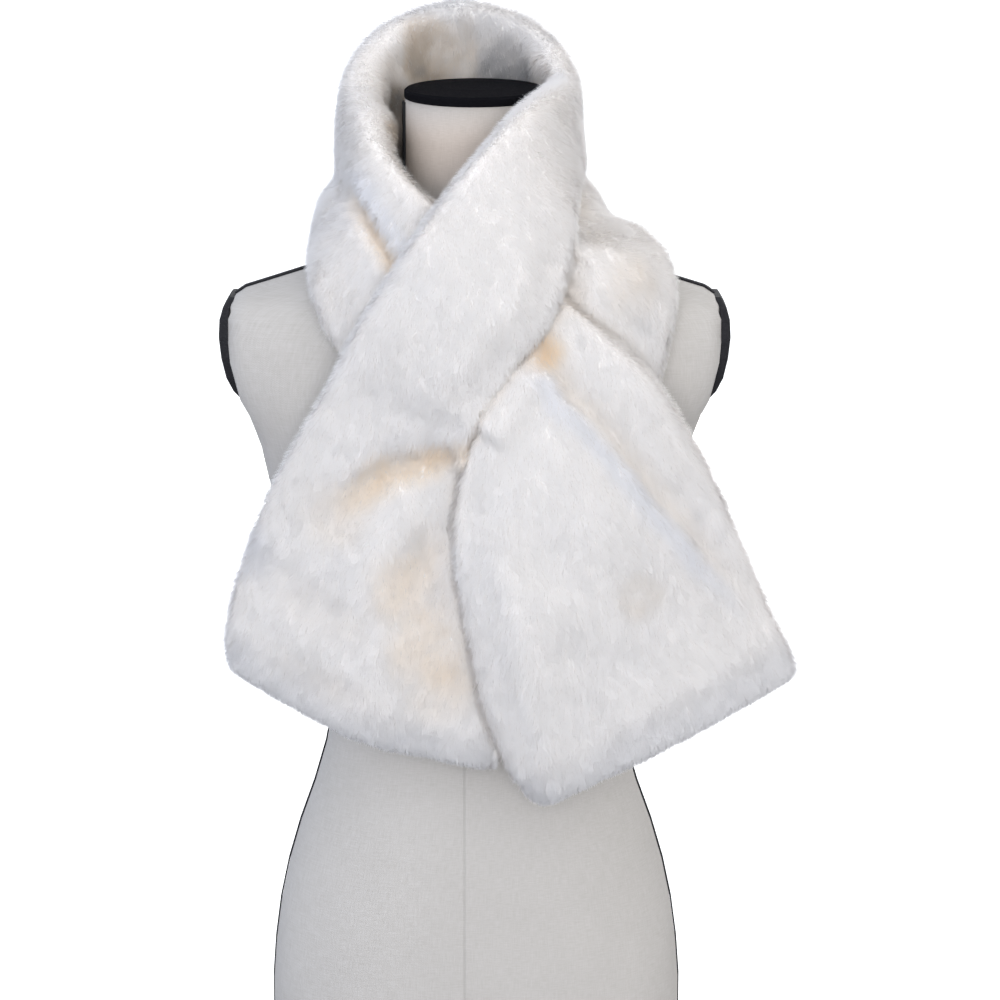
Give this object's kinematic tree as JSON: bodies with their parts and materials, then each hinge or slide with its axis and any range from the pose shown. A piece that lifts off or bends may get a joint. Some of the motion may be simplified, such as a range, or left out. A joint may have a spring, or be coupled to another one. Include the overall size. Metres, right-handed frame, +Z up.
{
  "type": "fur collar wrap on a dress form",
  "caption": "Deep-pile fur collar wrap: its tail is pulled through a slit below the neck and it rests on the shoulders of a limbless dress form",
  "frame": {"origin": "centre of the whole object's bounding box on X and Y, at the underside of the form's base board", "axes": "+Z up along the form, -Y towards the front where the wrap crosses, +X towards the front tail's side"},
  "size_m": [0.4358, 0.3076, 0.824],
  "materials": {
    "cream_fur": "dense short cream-white faux fur on both faces",
    "linen": "plain natural linen cover, tightly fitted",
    "black_trim": "black woven trim with a matt face",
    "black_cap": "satin black cap",
    "base_board": "dark board under the form"
  },
  "bodies": {
    "root": {"form_torso": "linen", "form_neck_cap": "black_cap", "form_base": "base_board", "form_arm_plate_right": "black_trim", "form_arm_plate_left": "black_trim", "form_shoulder_tape_right": "black_trim", "form_shoulder_tape_left": "black_trim", "form_side_tape_right": "black_trim", "form_side_tape_left": "black_trim", "wrap_collar_back": "cream_fur", "wrap_left_front": "cream_fur", "wrap_cross_band": "cream_fur", "wrap_shoulder_loop": "cream_fur", "wrap_left_tail": "cream_fur", "wrap_right_tail": "cream_fur"}
  },
  "joints": []
}
